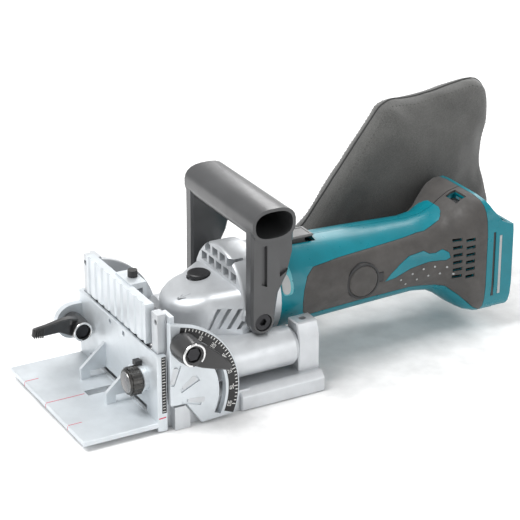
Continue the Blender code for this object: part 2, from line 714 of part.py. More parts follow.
def make_brush_cap(name, side, look):
    cap = turned(name, "X", (160, MOTOR_Z), [(side * 19, 5.6), (side * 24.4, 5.6)], look, 24)
    disc = [(side * 24.2, 10.8), (side * 27.6, 10.8), (side * 28.2, 9.8)]
    join(cap, turned("disc", "X", (160, MOTOR_Z), disc, count=24))
    key = box("key", sorted((side * 26.2, side * 27.4)), (169, 175.4), (52.1, 57.9))
    return join(cap, key)


def make_armature(look):
    shaft_front, shaft_rear = [(66, 3.0), (108, 3.0)], [(168.2, 3.0), (182, 3.0)]
    winding = [(109, 13.0), (114, 15.4), (114.2, 16.6), (146, 16.6), (146.2, 15.0), (150, 12.5)]
    commutator = [(151, 8.6), (168, 8.6)]
    steps = shaft_front + winding + commutator + shaft_rear
    return turned("armature", "Y", (0, MOTOR_Z), steps, look, 20)


def make_fan(look):
    fan = ring("fan", "Y", (0, MOTOR_Z), 84.6, 86.6, 3.4, 26.5, look, 24)
    for k in range(9):
        turn = Matrix.Rotation(2 * math.pi * k / 9, 4, "Y")
        blade = box("blade", (-0.7, 0.7), (78.4, 85), (8, 26))
        blade.data.transform(turn)
        blade.data.transform(Matrix.Translation((0, 0, MOTOR_Z * MM)))
        join(fan, blade)
    return fan


def bevel_outline(radius, teeth=9, depth=1.2):
    points = []
    for i in range(4 * teeth):
        a = math.pi * (i + 0.5) / (2 * teeth)
        r = radius if i % 4 < 2 else radius - depth
        points.append((r * math.cos(a), MOTOR_Z + r * math.sin(a)))
    return points


def make_pinion_gear(look):
    rings = [[(u, y, v) for u, v in bevel_outline(radius)] for y, radius in ((58.0, 4.6), (69.4, 5.9))]
    gear = loft("pinion_gear", rings, look)
    return cut(gear, turned("bore", "Y", (0, MOTOR_Z), [(65.4, 3.3), (72, 3.3)], count=16))


def make_crown_gear(look):
    gear = turned("crown_gear", "Z", (0, SPINDLE_Y), [(38, 13), (41, 18.4), (44.4, 18.4)], look, 24)
    teeth = 18
    for k in range(teeth):
        turn = Matrix.Rotation(2 * math.pi * k / teeth, 4, "Z")
        tooth = box("tooth", (13.4, 18.0), (-1.3, 1.3), (44, 46.8))
        tooth.data.transform(turn)
        tooth.data.transform(Matrix.Translation((0, SPINDLE_Y * MM, 0)))
        join(gear, tooth)
    for k in range(4):
        a = math.atan2(BUTTON_Y - SPINDLE_Y, BUTTON_X) + k * math.pi / 2
        reach = math.hypot(BUTTON_X, BUTTON_Y - SPINDLE_Y)
        centre = (reach * math.cos(a), SPINDLE_Y + reach * math.sin(a))
        cut(gear, turned("lock_hole", "Z", centre, [(36, 3.1), (50, 3.1)], count=14))
    return cut(gear, turned("bore", "Z", (0, SPINDLE_Y), [(36, 5.3), (48, 5.3)], count=20))


def make_blade(look):
    """The saw blade: six carbide teeth, each with a gullet ahead of it."""
    points = []
    segment = ((0, BLADE_R), (9, 49.2), (36, 47.6), (44, 44.0), (52, 40.0), (58.5, 41.0))
    for k in range(6):
        for degrees, radius in segment:
            a = math.radians(60 * k + degrees)
            points.append((radius * math.cos(a), SPINDLE_Y + radius * math.sin(a)))
    disc = prism("blade", "Z", BLADE_Z - 1.3, BLADE_Z + 1.3, points, look)
    for k in range(6):
        turn = Matrix.Rotation(math.pi * k / 3, 4, "Z")
        tip = box("tip", (44.5, 49.95), (-0.2, 2.6), (BLADE_Z - KERF / 2, BLADE_Z + KERF / 2))
        tip.data.transform(turn)
        tip.data.transform(Matrix.Translation((0, SPINDLE_Y * MM, 0)))
        join(disc, tip)
    return cut(disc, turned("bore", "Z", (0, SPINDLE_Y), [(5, 10.0), (15, 10.0)], count=24))


def make_spindle(look):
    steps = [(4.6, 4.0), (14.5, 4.0), (14.8, 6.0), (17.3, 6.0), (28.4, 6.0), (28.6, 5.0), (48.5, 5.0)]
    return turned("spindle", "Z", (0, SPINDLE_Y), steps, look, 28)


def make_inner_flange(look):
    steps = [(9.0, 9.6), (BLADE_Z + 1.5, 9.6), (BLADE_Z + 1.6, 15.0), (13.6, 15.0), (14.1, 14.0)]
    flange = turned("inner_flange", "Z", (0, SPINDLE_Y), steps, look, 32)
    return cut(flange, turned("bore", "Z", (0, SPINDLE_Y), [(8, 4.3), (15, 4.3)], count=20))


def make_lock_nut(look):
    nut = turned("lock_nut", "Z", (0, SPINDLE_Y), [(4.7, 12.6), (5.4, 13.4), (8.4, 13.4)], look, 32)
    cut(nut, turned("bore", "Z", (0, SPINDLE_Y), [(4, 4.3), (9, 4.3)], count=20))
    for x in (-9, 9):
        cut(nut, turned("spanner_hole", "Z", (x, SPINDLE_Y), [(4, 1.6), (7, 1.6)], count=10))
    return nut


def make_slide_switch(look):
    """The flat cap of the power switch, with the stem that runs in the housing's slot."""
    cap = box("slide_switch", (-7.8, 7.8), (SWITCH_Y - 9.5, SWITCH_Y + 9.5), (85.2, 87.2), look)
    eased(cap, 1.0)
    join(cap, box("stem", (-4, 4), (SWITCH_Y - 4.5, SWITCH_Y + 4.5), (79, 85.6)))
    return cut(cap, box("dish", (-5.5, 5.5), (SWITCH_Y - 7, SWITCH_Y + 7), (86.8, 90)))


def make_depth_dial(look):
    """The plunge stop: a knob with six steps of different depth behind it."""
    dial = prism("depth_dial", "Y", 9.0, 11.6, circle(DIAL_R, 18, DIAL_X, DIAL_Z), look)
    for k in range(6):
        a = math.radians(60 * k)
        centre = (DIAL_X + STEP_R * math.cos(a), DIAL_Z + STEP_R * math.sin(a))
        join(dial, turned("step", "Y", centre, [(11, 1.7), (12.0 + 0.45 * k, 1.7)], count=8))
    return cut(dial, turned("bore", "Y", (DIAL_X, DIAL_Z), [(8, 2.1), (15, 2.1)], count=12))


NOZZLE = [(-34, 115.4, 8.2), (-36, 124, 9.6), (-43, 138, 16), (-49.5, 149, 27), (-52, 154, 42)]
NOZZLE_SIZES = [(12, 4.8), (12, 5.4), (11.5, 8.5), (11.5, 11.0), (11.5, 11.5)]


def make_dust_nozzle(look):
    """An elbow from the case's chip exit up to the bag's mouth."""
    outer = loft("dust_nozzle", duct_rings(0.0, 0.0), look)
    inner = loft("inside", duct_rings(2.0, 1.6))
    flange = box("flange", (-50, -18), (CASE_REAR + GAP, 116.6), (1.2, 13.6))
    return cut(join(outer, flange), inner)


def steps_of(path, beyond=0.0):
    """Each point of a duct's path with its direction. beyond lengthens both ends."""
    points = [Vector(p) for p in path]
    last = len(points) - 1
    ways = [(points[min(i + 1, last)] - points[max(i - 1, 0)]).normalized() for i in range(last + 1)]
    ways[0] = Vector((0, 1, 0))
    points[0] = points[0] - ways[0] * beyond
    points[-1] = points[-1] + ways[-1] * beyond
    return list(zip(points, ways))


def duct_rings(beyond, inset):
    places = zip(steps_of(NOZZLE, beyond), NOZZLE_SIZES)
    return [duct_ring(point, way, size, inset) for (point, way), size in places]


def duct_ring(point, way, size, inset, count=16):
    side = Vector((1, 0, 0))
    side = (side - way * side.dot(way)).normalized()
    up = way.cross(side) * -1
    outline = oval(size[0] - inset, size[1] - inset, 2.6, count, (0, 0))
    return [point + side * u + up * v for u, v in outline]


def make_bag(look):
    """The filled dust bag: a flat pouch that stands upright beside the motor housing."""
    outline = [(137, 50), (158, 62), (222, 143), (229, 147.5), (296, 150), (304, 146), (312, 100),
               (314, 50), (308, 42), (230, 39), (160, 38), (141, 40)]
    rings = []
    for x, inset in ((-73, 7.0), (-70, 2.2), (-64, 0), (-45, 0), (-39.6, 2.2), (-37.6, 7.0)):
        cy, cz = 235.0, 92.0
        rings.append([(x, y + (cy - y) * inset / 90, z + (cz - z) * inset / 55) for y, z in outline])
    bag = loft("dust_bag", rings, look)
    end, way = steps_of(NOZZLE)[-1]
    mouth = [duct_ring(end + way * t, way, NOZZLE_SIZES[-1], -0.4) for t in (-14, 4)]
    return cut(bag, loft("mouth", mouth))


# The whole joiner


def looks():
    return {
        "casting": material("cast_aluminium", (0.72, 0.75, 0.78), 0.42, 0.6),
        "barrel": material("turned_aluminium", (0.62, 0.65, 0.68), 0.28, 0.9),
        "steel": material("steel", (0.52, 0.53, 0.55), 0.3, 1.0),
        "dark_steel": material("blackened_steel", (0.05, 0.05, 0.055), 0.45, 0.8),
        "lever": material("lever_plastic", (0.035, 0.035, 0.038), 0.5),
        "handle": material("handle_plastic", (0.06, 0.062, 0.065), 0.45),
        "teal": material("teal_plastic", (0.0, 0.235, 0.29), 0.35),
        "rubber": material("grip_rubber", (0.07, 0.064, 0.06), 0.75),
        "black": material("black_plastic", (0.02, 0.02, 0.022), 0.5),
        "felt": material("bag_felt", (0.09, 0.09, 0.085), 0.95),
        "copper": material("copper_winding", (0.55, 0.24, 0.12), 0.4, 0.9),
        "switch": material("switch_plastic", (0.16, 0.16, 0.16), 0.6),
    }


def base_members(mat):
    members = [make_case(mat["casting"]), make_dust_nozzle(mat["black"]), make_bag(mat["felt"])]
    for side, label in ((1, "near"), (-1, "far")):
        centre = (side * ROD_X, ROD_Z)
        rod = [(7.6, ROD_R), (110.4, ROD_R)]
        members.append(turned(f"guide_rod_{label}", "Y", centre, rod, mat["steel"], 24))
        members.append(make_set_screw(f"rod_set_screw_{label}", side, mat["dark_steel"]))
        members.append(coil(f"return_spring_{label}", centre, 14.4, 41.6, 6.4, 0.7, 6, mat["steel"]))
        pin = [(side * 46.2, 1.4), (side * 53.4, 1.4)]
        members.append(turned(f"hinge_pin_{label}", "X", (0, PIVOT_Z), pin, mat["steel"], 16))
    members.append(make_bolt("tilt_lock_bolt", (LOCK_Y, LOCK_Z), 50.6, 77.0, 2.2, mat["dark_steel"]))
    members.append(make_bolt("tilt_guide_bolt", (LOCK_Y, LOCK_Z), -50.6, -65.0, 3.6, mat["dark_steel"]))
    return members


def fence_members(mat):
    members = [make_fence_frame(mat["casting"])]
    rack = rack_outline(KNOB_X - PINION_R, 0.9, 21.4, 77.4, KNOB_Z)
    members.append(prism("height_rack", "Y", 0.6, 2.8, rack, mat["steel"]))
    for side, label in ((1, "near"), (-1, "far")):
        members.append(make_quadrant(f"quadrant_{label}", side, mat["casting"]))
        members.append(make_frame_screw(f"quadrant_screw_{label}", side, 51.5, mat["dark_steel"]))
    return members


def guide_members(mat):
    clamp = make_bolt("clamp_bolt", (CLAMP_Y, CLAMP_Z), -63.0, -35.2, 2.1, mat["dark_steel"])
    shoe = box("clamp_shoe", (-61.4, -58.3), (-18, 1.2), (23, 38), mat["casting"])
    cut(shoe, turned("bore", "X", (CLAMP_Y, CLAMP_Z), [(-64, 2.3), (-56, 2.3)], count=16))
    steps = [(78.3, 1.3), (82.7, 1.3), (82.8, 3.2), (87, 3.2)]
    stop = turned("height_stop_screw", "Z", (3, 5.2), steps, mat["black"], 20)
    plates = [make_angle_guide(mat["casting"]), make_top_plate(mat["casting"])]
    return plates + [clamp, eased(shoe, 0.6), stop]


def make_stop_screw(look):
    """The screw in the gear housing that meets one of the dial's steps at full depth."""
    centre = (DIAL_X + STEP_R, DIAL_Z)
    return turned("depth_stop_screw", "Y", centre, [(36.2, 1.6), (46, 1.6)], look, 12)


def motor_members(mat):
    centre = (0, MOTOR_Z)
    members = [
        make_gear_housing(mat["casting"]),
        make_bearing_box(mat["casting"]),
        make_housing("housing_near", 1, mat["teal"]),
        make_housing("housing_far", -1, mat["teal"]),
        make_grip("grip_near", 1, mat["rubber"]),
        make_grip("grip_far", -1, mat["rubber"]),
        make_handle(mat["handle"]),
        ring("stator", "Y", centre, 106, 150, 18.2, 23.6, mat["steel"]),
        ring("armature_bearing", "Y", centre, 88.4, 91.0, 3.4, 9.0, mat["steel"], 24),
        ring("spindle_bearing", "Z", (0, SPINDLE_Y), 17.4, 25.4, 6.4, 11.0, mat["steel"], 28),
        box("terminal_block", (-26, 26), (252, 260.5), (30, 70), mat["black"]),
        make_stop_screw(mat["steel"]),
    ]
    for side, label in ((1, "near"), (-1, "far")):
        members.append(make_handle_bolt(f"handle_bolt_{label}", side, mat["dark_steel"]))
        members.append(make_brush_cap(f"brush_cap_{label}", side, mat["rubber"]))
    return members


def clear_scene():
    for obj in list(bpy.data.objects):
        bpy.data.objects.remove(obj)


def main():
    clear_scene()
    mat = looks()
    base = body("base", (0, 0, 0), base_members(mat))
    body("blade_cover_hinge", (0, 11.0, 1.7), [make_blade_cover(mat["casting"])], base)
    pin_steps = [(6.8, 1.8), (11.4, 1.8)]
    dial_pin = turned("depth_dial_pin", "Y", (DIAL_X, DIAL_Z), pin_steps, mat["steel"], 12)
    body("depth_dial_axis", (DIAL_X, 9, DIAL_Z), [make_depth_dial(mat["black"]), dial_pin], base)
    lock, clamp = (LOCK_Y, LOCK_Z), (CLAMP_Y, CLAMP_Z)
    tilt_lever = make_lever("tilt_lock_lever", lock, 77.6, 61.2, (25.0, -14.5), 8.8, TILT_ARM, mat["lever"])
    body("tilt_lever_axis", (61.2, LOCK_Y, LOCK_Z), [tilt_lever], base)

    fence = body("fence", (0, 0, PIVOT_Z), fence_members(mat), base)
    guide = body("guide", (0, 0, KNOB_Z), guide_members(mat), fence)
    knob = [make_knob(mat["dark_steel"]), make_height_pinion(mat["steel"])]
    body("knob_axis", (KNOB_X, 0, KNOB_Z), knob, guide)
    guide_lever = make_lever("guide_lock_lever", clamp, -34.6, -52.8, (-35.0, 7.0), 7.3, GUIDE_ARM, mat["lever"])
    body("guide_lever_axis", (-52.8, CLAMP_Y, CLAMP_Z), [guide_lever], guide)

    motor = body("motor_unit", (0, 0, MOTOR_Z), motor_members(mat), base)
    spindle = [make_spindle(mat["steel"]), make_crown_gear(mat["steel"]), make_blade(mat["steel"])]
    spindle += [make_inner_flange(mat["steel"]), make_lock_nut(mat["steel"])]
    body("spindle_axis", (0, SPINDLE_Y, BLADE_Z), spindle, motor)
    rotor = [make_armature(mat["copper"]), make_fan(mat["black"]), make_pinion_gear(mat["steel"])]
    body("armature_axis", (0, SPINDLE_Y, MOTOR_Z), rotor, motor)
    body("switch_slide", (0, SWITCH_Y, 86), [make_slide_switch(mat["switch"])], motor)
    steps = [(45.2, 2.2), (66.8, 2.2), (66.9, 7.4), (69.2, 7.4), (69.8, 6.6)]
    button = turned("shaft_lock_button", "Z", (BUTTON_X, BUTTON_Y), steps, mat["black"], 28)
    body("shaft_lock_slide", (BUTTON_X, BUTTON_Y, 68), [button], motor)


main()
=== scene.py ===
"""Looks of the cordless plate joiner: materials, markings, seams and the cloth dust bag, on its CAD frame."""
import math

import bmesh
import bpy
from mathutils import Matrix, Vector, noise
from mathutils.bvhtree import BVHTree


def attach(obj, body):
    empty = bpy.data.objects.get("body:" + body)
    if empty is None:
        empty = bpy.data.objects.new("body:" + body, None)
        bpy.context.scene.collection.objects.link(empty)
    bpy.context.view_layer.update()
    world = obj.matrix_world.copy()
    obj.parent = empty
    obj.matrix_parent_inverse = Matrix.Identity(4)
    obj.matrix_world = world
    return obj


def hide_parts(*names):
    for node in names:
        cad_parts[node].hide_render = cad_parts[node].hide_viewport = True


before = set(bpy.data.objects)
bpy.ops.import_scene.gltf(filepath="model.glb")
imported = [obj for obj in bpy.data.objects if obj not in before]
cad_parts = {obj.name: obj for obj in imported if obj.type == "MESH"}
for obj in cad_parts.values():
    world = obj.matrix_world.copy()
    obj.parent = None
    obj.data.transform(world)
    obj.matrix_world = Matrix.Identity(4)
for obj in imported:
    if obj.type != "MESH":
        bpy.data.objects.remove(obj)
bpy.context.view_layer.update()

MM = 0.001  # the sizes and places of pieces below are in millimetres
TILT_Z = 22.0  # height of the fence's tilt axis
SCALE_X = 60.7  # outer face of the angle scale's quadrant
SCALE_ZERO = 15.6  # angle of the scale's 0 mark, from straight up towards the rear
EDGE_X = 58.0  # near edge of the guide, with the height scale
FOOT_TOP, FOOT_FRONT = 7.1, -55.9  # top and front faces of the guide's foot
GUIDE_HUB, GUIDE_REACH = (-13.8, 32.6), (-35.0, 7.0)  # the guide lever: hub, and from there to its tip
TILT_HUB = (9.8, 58.7)
KNOB_CENTRE = (39, 30)
CAP_CENTRE = (160, 55)  # the brush caps, in Y and Z
SIDES = ((1, "near"), (-1, "far"))

# ---------------------------------------------------------------- materials


class Finish:
    """A procedural material on a Principled shader."""

    def __init__(self, name, rough, metal=0.0, **sockets):
        self.made = bpy.data.materials.new(name)
        self.made.use_nodes = True
        self.tree = self.made.node_tree
        self.shader = self.tree.nodes["Principled BSDF"]
        self.shader.inputs["Roughness"].default_value = rough
        self.shader.inputs["Metallic"].default_value = metal
        for socket, value in sockets.items():
            self.shader.inputs[socket.replace("_", " ")].default_value = value
        self.place = self.node("ShaderNodeTexCoord").outputs["Object"]
        self.height = None

    def node(self, kind, **values):
        made = self.tree.nodes.new(kind)
        for key, value in values.items():
            setattr(made, key, value)
        return made

    def link(self, out, into):
        self.tree.links.new(out, into)

    def noise(self, scale, detail=4.0, rough=0.55, stretch=None):
        made = self.node("ShaderNodeTexNoise")
        made.inputs["Scale"].default_value = scale
        made.inputs["Detail"].default_value = detail
        made.inputs["Roughness"].default_value = rough
        if stretch:
            mapping = self.node("ShaderNodeMapping")
            mapping.inputs["Scale"].default_value = stretch
            self.link(self.place, mapping.inputs["Vector"])
            self.link(mapping.outputs["Vector"], made.inputs["Vector"])
        else:
            self.link(self.place, made.inputs["Vector"])
        return made.outputs["Fac"]

    def ramp(self, fac, stops):
        made = self.node("ShaderNodeValToRGB")
        made.color_ramp.elements[0].position, made.color_ramp.elements[1].position = stops[0][0], stops[-1][0]
        made.color_ramp.elements[0].color = (*stops[0][1], 1)
        made.color_ramp.elements[1].color = (*stops[-1][1], 1)
        for position, colour in stops[1:-1]:
            made.color_ramp.elements.new(position).color = (*colour, 1)
        self.link(fac, made.inputs["Fac"])
        return made.outputs["Color"]

    def multiply(self, first, second):
        made = self.node("ShaderNodeMix", data_type="RGBA", blend_type="MULTIPLY")
        made.inputs[0].default_value = 1.0
        self.link(first, made.inputs[6])
        self.link(second, made.inputs[7])
        return made.outputs[2]

    def tint(self, fac, *stops):
        self.link(self.ramp(fac, stops), self.shader.inputs["Base Color"])
        return self

    def gloss(self, fac, low, high):
        made = self.node("ShaderNodeMapRange")
        made.inputs["From Min"].default_value = 0.3
        made.inputs["From Max"].default_value = 0.7
        made.inputs["To Min"].default_value = low
        made.inputs["To Max"].default_value = high
        self.link(fac, made.inputs["Value"])
        self.link(made.outputs["Result"], self.shader.inputs["Roughness"])
        return self

    def bump(self, fac, strength, distance):
        made = self.node("ShaderNodeBump")
        made.inputs["Strength"].default_value = strength
        made.inputs["Distance"].default_value = distance
        self.link(fac, made.inputs["Height"])
        if self.height:
            self.link(self.height, made.inputs["Normal"])
        self.height = made.outputs["Normal"]
        self.link(self.height, self.shader.inputs["Normal"])
        return self


def shades(colour, low, high):
    """A darker and a lighter shade of a colour."""
    return tuple(c * low for c in colour), tuple(min(1.0, c * high) for c in colour)


def cast(name, colour, rough=0.42, metal=0.35):
    """Bead-blasted, clear-coated aluminium casting."""
    made = Finish(name, rough, metal, Coat_Weight=0.15, Coat_Roughness=0.35)
    low, high = shades(colour, 0.93, 1.05)
    made.tint(made.noise(60, 5), (0.35, low), (0.65, high))
    made.gloss(made.noise(140, 3), rough - 0.05, rough + 0.08)
    return made.bump(made.noise(2600, 2), 0.16, 0.00012).bump(made.noise(320, 3), 0.06, 0.0003).made


def machined(name, colour, rough=0.26, stretch=(1, 40, 40), metal=0.9):
    """Turned or ground metal with fine lines along one direction."""
    made = Finish(name, rough, metal, Anisotropic=0.3)
    low, high = shades(colour, 0.86, 1.1)
    made.tint(made.noise(90, 4, stretch=stretch), (0.3, low), (0.7, high))
    made.gloss(made.noise(300, 3, stretch=stretch), rough - 0.06, rough + 0.1)
    return made.bump(made.noise(500, 3, stretch=stretch), 0.1, 0.0001).made


def plastic(name, colour, rough, grain=2200, depth=0.14, coat=0.0, worn=1.12, specular=0.5):
    """Moulded plastic with a spark-eroded grain."""
    made = Finish(name, rough, 0.0, Coat_Weight=coat, Coat_Roughness=0.18, Specular_IOR_Level=specular)
    low, high = shades(colour, 0.92, worn)
    made.tint(made.noise(45, 4), (0.35, low), (0.68, high))
    made.gloss(made.noise(110, 3), rough - 0.04, rough + 0.07)
    return made.bump(made.noise(grain, 2), depth, 0.0001).made


def rubber(name, colour):
    made = Finish(name, 0.62, 0.0, Sheen_Weight=0.15)
    low, high = shades(colour, 0.85, 1.25)
    made.tint(made.noise(70, 5), (0.35, low), (0.7, high))
    made.gloss(made.noise(200, 3), 0.5, 0.72)
    return made.bump(made.noise(3000, 2), 0.22, 0.00014).bump(made.noise(420, 3), 0.08, 0.0003).made


def felt(name, colour):
    """Matted non-woven cloth: crossed fibres, pale flecks and slow blotches, with painted shade that darkens
    it towards the bottom.
    """
    made = Finish(name, 0.95, 0.0, Sheen_Weight=0.35, Sheen_Roughness=0.6)
    flecks = made.noise(1500, 5, 0.75)
    blotches = made.noise(34, 4)
    low, high = shades(colour, 0.55, 1.8)
    middle = tuple(c * 1.02 for c in colour)
    speckle = made.ramp(flecks, [(0.3, low), (0.5, middle), (0.72, high)])
    cloud = made.ramp(blotches, [(0.3, (0.72, 0.72, 0.72)), (0.7, (1.12, 1.12, 1.12))])
    # painted shade: the cloth is made darker towards the bottom of the bag, by its height alone
    parts = made.node("ShaderNodeSeparateXYZ")
    made.link(made.place, parts.inputs["Vector"])
    painted_low_shade = made.ramp(parts.outputs["Z"], [(0.055, (0.5, 0.5, 0.5)), (0.115, (1.0, 1.0, 1.0))])
    whole = made.multiply(made.multiply(speckle, cloud), painted_low_shade)
    made.link(whole, made.shader.inputs["Base Color"])
    fibres = made.noise(700, 5, 0.7, stretch=(1, 5, 1))
    crossed = made.noise(700, 5, 0.7, stretch=(5, 1, 5))
    return made.bump(flecks, 0.5, 0.0004).bump(fibres, 0.35, 0.0005).bump(crossed, 0.3, 0.0005).made


def paint(name, colour, rough=0.5):
    made = Finish(name, rough)
    low, high = shades(colour, 0.88, 1.1)
    made.tint(made.noise(500, 4), (0.35, low), (0.65, high))
    return made.bump(made.noise(1500, 2), 0.1, 0.0001).made


CASTING = cast("casting", (0.57, 0.59, 0.61), 0.4, 0.5)
PALE = cast("pale_casting", (0.63, 0.67, 0.70), 0.36, 0.4)
STEEL = machined("steel", (0.55, 0.55, 0.56))
BLADE = machined("blade_steel", (0.6, 0.6, 0.61), 0.2, (30, 30, 1))
BRIGHT = machined("bright_ring", (0.8, 0.8, 0.8), 0.15)
BLACKENED = machined("blackened_steel", (0.035, 0.035, 0.038), 0.34, (1, 1, 1), 0.7)
KNURL = machined("knurled_steel", (0.075, 0.073, 0.07), 0.3, (1, 1, 1), 0.85)
KNOB_FACE = machined("knob_face", (0.34, 0.335, 0.33), 0.28, (30, 1, 30))
LEVER = plastic("lever_plastic", (0.022, 0.022, 0.023), 0.32, 1700, 0.12, coat=0.3)
HANDLE = plastic("handle_plastic", (0.05, 0.051, 0.053), 0.34, 1900, 0.14, coat=0.35)
TEAL = plastic("teal_plastic", (0.0, 0.17, 0.215), 0.3, 1500, 0.03, coat=0.2, specular=0.3)
TEAL_PALE = plastic("teal_pale", (0.05, 0.33, 0.38), 0.3, 1500, 0.03, coat=0.4)
RUBBER = rubber("grip_rubber", (0.05, 0.046, 0.043))
SWITCH = plastic("switch_plastic", (0.13, 0.13, 0.13), 0.35, 1500, 0.1)
BLACK = plastic("black_plastic", (0.016, 0.016, 0.017), 0.42)
GREY_PAD = plastic("grey_pad", (0.38, 0.39, 0.39), 0.45)
FELT = felt("bag_felt", (0.074, 0.074, 0.070))
PIPING = felt("bag_binding", (0.028, 0.028, 0.027))
THREAD = paint("bag_thread", (0.06, 0.06, 0.058), 0.9)
COPPER = machined("winding_copper", (0.52, 0.2, 0.1), 0.35)
RED = paint("red_mark", (0.60, 0.012, 0.07), 0.45)
SCALE_BLACK = paint("scale_black", (0.012, 0.012, 0.013), 0.42)
SCALE_WHITE = paint("scale_white", (0.82, 0.82, 0.80), 0.45)

LOOKS = {
    CASTING: "base_case fence_frame gear_housing quadrant_far clamp_shoe blade_cover bearing_box",
    PALE: "angle_guide guide_top_plate quadrant_near",
    STEEL: """guide_rod_near guide_rod_far return_spring_near return_spring_far hinge_pin_near hinge_pin_far
        height_rack height_pinion depth_dial_pin depth_stop_screw spindle crown_gear inner_flange lock_nut
        pinion_gear stator armature_bearing spindle_bearing""",
    BLADE: "blade",
    BLACKENED: """rod_set_screw_near rod_set_screw_far quadrant_screw_near quadrant_screw_far tilt_lock_bolt
        tilt_guide_bolt clamp_bolt handle_bolt_near handle_bolt_far""",
    KNURL: "height_knob",
    LEVER: "guide_lock_lever tilt_lock_lever",
    HANDLE: "handle",
    TEAL: "housing_near housing_far",
    RUBBER: "grip_near grip_far brush_cap_near brush_cap_far",
    BLACK: "dust_nozzle terminal_block fan depth_dial height_stop_screw shaft_lock_button",
    SWITCH: "slide_switch",
    FELT: "dust_bag",
    COPPER: "armature",
}
# width of the eased edges, in millimetres
ROUNDED = {
    "base_case": 0.5, "gear_housing": 0.5, "angle_guide": 0.35,
    "guide_top_plate": 0.25, "fence_frame": 0.3, "quadrant_near": 0.25,
    "quadrant_far": 0.25, "handle": 0.5,
    "tilt_lock_lever": 0.3, "guide_lock_lever": 0.3, "clamp_shoe": 0.3,
    "slide_switch": 0.2, "blade_cover": 0.2, "brush_cap_near": 0.3, "brush_cap_far": 0.3,
}
FLAT_ANGLE, ROUNDED_ANGLE = 34, 50  # an edge sharper than this stays sharp
# the sharpest edge that still looks smooth on a moulded shape without eased edges, in degrees
SOFT = {"housing_near": 48, "housing_far": 48, "grip_near": 48, "grip_far": 48}


def smooth(obj, angle):
    obj.data.shade_smooth()
    obj.data.set_sharp_from_angle(angle=math.radians(angle))


def shade_node(node, width, angle):
    """Joins a CAD node's loose triangles for shading, eases its edges and keeps the sharp ones."""
    for name in ("custom_normal", "sharp_edge"):
        if name in node.data.attributes:
            node.data.attributes.remove(node.data.attributes[name])
    node.data.shade_smooth()
    weld = node.modifiers.new("weld", "WELD")
    weld.merge_threshold = 0.000002
    if width:
        edges = node.modifiers.new("edges", "BEVEL")
        edges.width = width * MM
        edges.segments = 2
        edges.limit_method = "ANGLE"
        edges.angle_limit = math.radians(35)
        edges.use_clamp_overlap = True
        angle = ROUNDED_ANGLE
    split = node.modifiers.new("split", "EDGE_SPLIT")
    split.split_angle = math.radians(angle)
    split.use_edge_sharp = False
    if width:
        even = node.modifiers.new("even", "WEIGHTED_NORMAL")
        even.keep_sharp = True


def dress_nodes():
    """Gives each CAD node its material and its shading."""
    for look, names in LOOKS.items():
        for name in names.split():
            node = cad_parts[name]
            node.data.materials.clear()
            node.data.materials.append(look)
            shade_node(node, ROUNDED.get(name), SOFT.get(name, FLAT_ANGLE))


# ---------------------------------------------------------------- shapes


def piece(name, bm, look, body, shade=35):
    """A mesh piece in the frame of the object, from a bmesh in millimetres."""
    bmesh.ops.recalc_face_normals(bm, faces=bm.faces)
    bmesh.ops.scale(bm, vec=(MM, MM, MM), verts=bm.verts)
    mesh = bpy.data.meshes.new(name)
    bm.to_mesh(mesh)
    bm.free()
    mesh.materials.append(look)
    obj = bpy.data.objects.new(name, mesh)
    bpy.context.scene.collection.objects.link(obj)
    if shade:
        smooth(obj, shade)
    if body:
        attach(obj, body)
    return obj


def add_rings(bm, rings, cap=True):
    """Closed rings of points joined by walls, with the two end rings filled if cap is set."""
    rows = [[bm.verts.new(p) for p in ring] for ring in rings]
    for low, high in zip(rows, rows[1:]):
        for i in range(len(low)):
            j = (i + 1) % len(low)
            bm.faces.new((low[i], low[j], high[j], high[i]))
    if cap:
        bm.faces.new(rows[0])
        bm.faces.new(rows[-1])


def along(axis, u, v, w):
    """A point with w along an axis and u, v across it."""
    if axis == "X":
        return Vector((w, u, v))
    return Vector((u, w, v)) if axis == "Y" else Vector((u, v, w))


def add_slab(bm, axis, low, high, outline, ease=0.0):
    """A prism with its outer edge eased inwards at the high end."""
    cu = sum(p[0] for p in outline) / len(outline)
    cv = sum(p[1] for p in outline) / len(outline)

    def shrunk(by):
        made = []
        for u, v in outline:
            d = math.hypot(u - cu, v - cv) or 1.0
            made.append((cu + (u - cu) * (d - by) / d, cv + (v - cv) * (d - by) / d))
        return made

    step = math.copysign(ease, high - low)
    rows = [(low, 0.0), (high - step, 0.0), (high, ease)] if ease else [(low, 0.0), (high, 0.0)]
    add_rings(bm, [[along(axis, u, v, w) for u, v in shrunk(by)] for w, by in rows])


def circle(radius, count, u=0.0, v=0.0, start=0.0):
    turns = [start + 2 * math.pi * i / count for i in range(count)]
    return [(u + radius * math.cos(a), v + radius * math.sin(a)) for a in turns]


def rounded(cu, cv, a, b, power, count=32):
    """An outline between an ellipse and a rectangle."""
    points = []
    for i in range(count):
        t = 2 * math.pi * (i + 0.5) / count
        c, s = math.cos(t), math.sin(t)
        u = a * math.copysign(abs(c) ** (2 / power), c)
        v = b * math.copysign(abs(s) ** (2 / power), s)
        points.append((cu + u, cv + v))
    return points


def add_turned(bm, axis, centre, steps, count=48):
    add_rings(bm, [[along(axis, u, v, w) for u, v in circle(r, count, *centre)] for w, r in steps])


def polar(radius, degrees):
    """Y and Z of a point on the angle scale, from straight up towards the rear."""
    a = math.radians(degrees)
    return radius * math.sin(a), TILT_Z + radius * math.cos(a)


def add_band(bm, inner, outer, start, end, x0, x1, count=72):
    """A piece of a flat ring about the fence's tilt axis."""
    angles = [start + (end - start) * i / count for i in range(count + 1)]
    outline = [polar(outer, a) for a in angles] + [polar(inner, a) for a in reversed(angles)]
    add_rings(bm, [[(x0, y, z) for y, z in outline], [(x1, y, z) for y, z in outline]])


